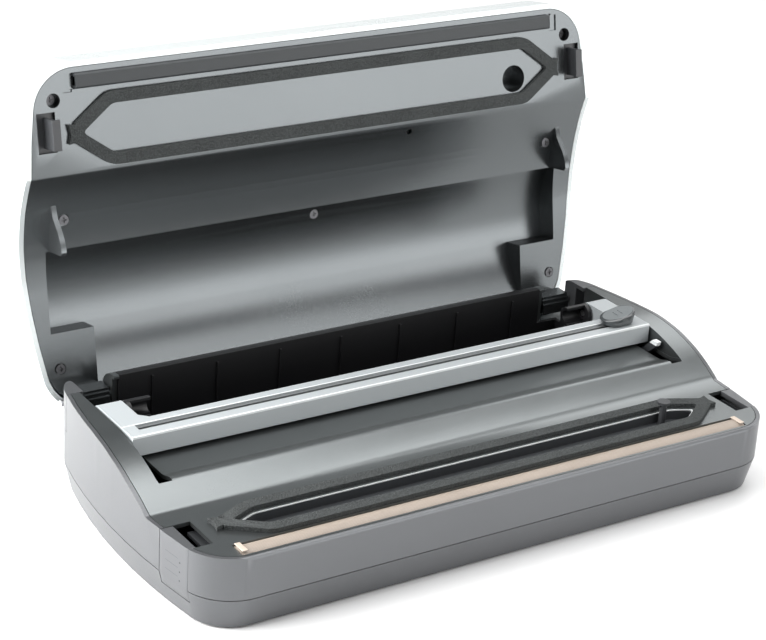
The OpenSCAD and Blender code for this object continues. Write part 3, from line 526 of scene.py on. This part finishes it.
# %% Switch, inlet, keys and feet
softened("switch_lever", lever_dark, 0.3 * mm)
softened("power_inlet", dark_moulding, 0.3 * mm)
softened("control_panel", panel_black, 0.1 * mm)
for name in ("seal", "vacuum", "mode"):
    softened("key_" + name, key_silver, 0.4 * mm, 3)
softened("key_stop", key_red, 0.4 * mm, 3)
softened("feet", foot_black, 0.4 * mm)

# %% [markdown]
# ## Foam gaskets
# Foam is cut from sheet and swells a little between its edges, so it is crowned: a wide bevel
# rounds its shoulders, and the foam finish roughens it.

# %% Foam gaskets
gaskets = [softened(node, foam, 1.1 * mm, 4, 40) for node in ("lower_gasket", "upper_gasket")]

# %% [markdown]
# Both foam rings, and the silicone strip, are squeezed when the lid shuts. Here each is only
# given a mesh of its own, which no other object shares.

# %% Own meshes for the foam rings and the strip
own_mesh(gaskets[0])
for piece, node, keep in ((gaskets[1], "upper_gasket", 0.5), (strip, "pressure_strip", 0.4)):
    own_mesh(piece)

# %% [markdown]
# ## Pins of the power inlet
# Two round pins stand in the inlet at the back. Each is a cylinder laid along +Y with a
# bevelled tip, and its place is put into the mesh, so the object itself stays at the origin.

# %% Inlet pins
inlet_low, inlet_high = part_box("power_inlet")
inlet_x = (inlet_low.x + inlet_high.x) / 2
inlet_z = (inlet_low.z + inlet_high.z) / 2
pin_radius, pin_length = 1.15 * mm, 8 * mm
pin_side, pin_inset = 4 * mm, 6.4 * mm
for name, side in (("inlet_pin_left", -1), ("inlet_pin_right", 1)):
    bpy.ops.object.select_all(action="DESELECT")
    bpy.ops.mesh.primitive_cylinder_add(
        vertices=32, radius=pin_radius, depth=pin_length, rotation=(math.radians(90), 0, 0),
        location=(inlet_x + side * pin_side, inlet_high.y - pin_inset, inlet_z))
    pin = bpy.context.object
    pin.name = name
    tip = pin.modifiers.new("tip", "BEVEL")
    tip.width, tip.segments = 0.5 * mm, 3
    bpy.ops.object.modifier_apply(modifier=tip.name)
    bpy.ops.object.shade_smooth_by_angle(angle=math.radians(35))
    pick(pin)
    bpy.ops.object.transform_apply(location=True, rotation=True, scale=True)
    pin.data.materials.append(steel)
    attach(pin, "base")
print("inlet pins at x", round(inlet_x - pin_side, 4), round(inlet_x + pin_side, 4))

# %% [markdown]
# ## The parts inside
# Few of these show, so they keep their solids and only take a finish.

# %% Finishes for the parts inside
inside = {
    "heating_wire": steel, "hinge_pins": steel, "arm_pins": steel, "casing_screws": steel,
    "lid_screws": black_steel, "board_screws": steel, "cutter_blade": steel,
    "latch_springs": steel, "pump_motor": steel, "pump_body": dark_moulding,
    "pump_rotor": brass, "vacuum_hose": hose_clear, "release_valve": valve_blue,
    "transformer_core": varnished_core, "transformer_coil": coil_wire,
    "main_board": board_green, "control_board": board_green, "lid_switch": dark_moulding,
    "hinge_bushes": ivory, "status_lights": light_lens}
for node, finish in inside.items():
    nodes[node].data.materials.clear()
    nodes[node].data.materials.append(finish)
print("inside parts:", len(inside))

# %% [markdown]
# ## Studio floor
# A plain pale floor, much wider than the view, with hardly any change in its tone.

# %% Floor
floor_size = 12
bpy.ops.object.select_all(action="DESELECT")
bpy.ops.mesh.primitive_plane_add(size=floor_size, location=(0, 0, 0))
floor = bpy.context.object
floor.name = "studio_floor"
paint = Paint("pale_floor")
tone = paint.blend(paint.noise(3, 2), (0.86, 0.86, 0.86), (0.88, 0.88, 0.88))
floor.data.materials.append(paint.finish(base_color=tone, roughness=0.6))
print("floor:", floor_size, "m wide")

# %% [markdown]
# ## Air around the machine
# The room is bright near the floor and dim overhead. The brightness follows the height of the
# direction that is looked in, from 0 at the horizon to 1 straight up, so upright faces mirror
# light and the level ones mirror a darker ceiling.

# %% Air
world = bpy.data.worlds.new("studio_air")
bpy.context.scene.world = world
world.use_nodes = True
air = world.node_tree
direction = air.nodes.new("ShaderNodeTexCoord")
parts = air.nodes.new("ShaderNodeSeparateXYZ")
ramp = air.nodes.new("ShaderNodeValToRGB")
greys_by_height = ((0.0, 0.9), (0.2, 0.6), (0.45, 0.16), (1.0, 0.12))
stops = ramp.color_ramp.elements
while len(stops) < len(greys_by_height):
    stops.new(0.5)
for stop, (height, grey) in zip(stops, greys_by_height):
    stop.position, stop.color = height, (grey, grey, grey, 1)
air.links.new(direction.outputs["Generated"], parts.inputs["Vector"])
air.links.new(parts.outputs["Z"], ramp.inputs["Fac"])
air.links.new(ramp.outputs["Color"], air.nodes["Background"].inputs["Color"])
air.nodes["Background"].inputs["Strength"].default_value = 1.0
print("greys from the horizon up:", [grey for _, grey in greys_by_height])

# %% [markdown]
# ## Soft panels
# Satin plastic shows its lights as broad bright bands, so the panels stand where the lid and
# the deck mirror them. Each line gives a panel's place, what it faces, its width, its height
# and its power in watts.

# %% Panels
def panel(name, place, target, width, height, power):
    bpy.ops.object.select_all(action="DESELECT")
    bpy.ops.object.light_add(type="AREA", location=place)
    lamp = bpy.context.object
    lamp.name = name
    lamp.data.shape = "RECTANGLE"
    lamp.data.size, lamp.data.size_y = width, height
    lamp.data.energy = power
    facing = Vector(target) - Vector(place)
    lamp.rotation_euler = facing.to_track_quat("-Z", "Y").to_euler()


panel("overhead", (0.0, 0.1, 1.6), (0, 0, 0.05), 1.4, 0.9, 18)
panel("left_side", (-1.3, 0.35, 0.7), (-0.2, 0, 0.05), 1.0, 1.0, 40)
panel("left_low", (-0.85, 0.75, 0.3), (-0.19, 0, 0.04), 0.6, 0.5, 16)
panel("right_back", (1.6, 1.0, 1.5), (0.1, 0, 0.05), 1.0, 1.0, 10)
panel("front_right", (1.05, -1.75, 0.35), (0, 0.05, 0.15), 1.7, 1.0, 17)
panel("right_high", (0.85, -0.4, 1.4), (0, 0.1, 0.1), 0.6, 0.5, 5)
panel("front_floor", (0.9, -1.6, 1.7), (0.9, -1.5, 0), 1.8, 1.2, 18)
bpy.context.scene.view_settings.view_transform = "Standard"
print("panels:", len(bpy.data.lights))
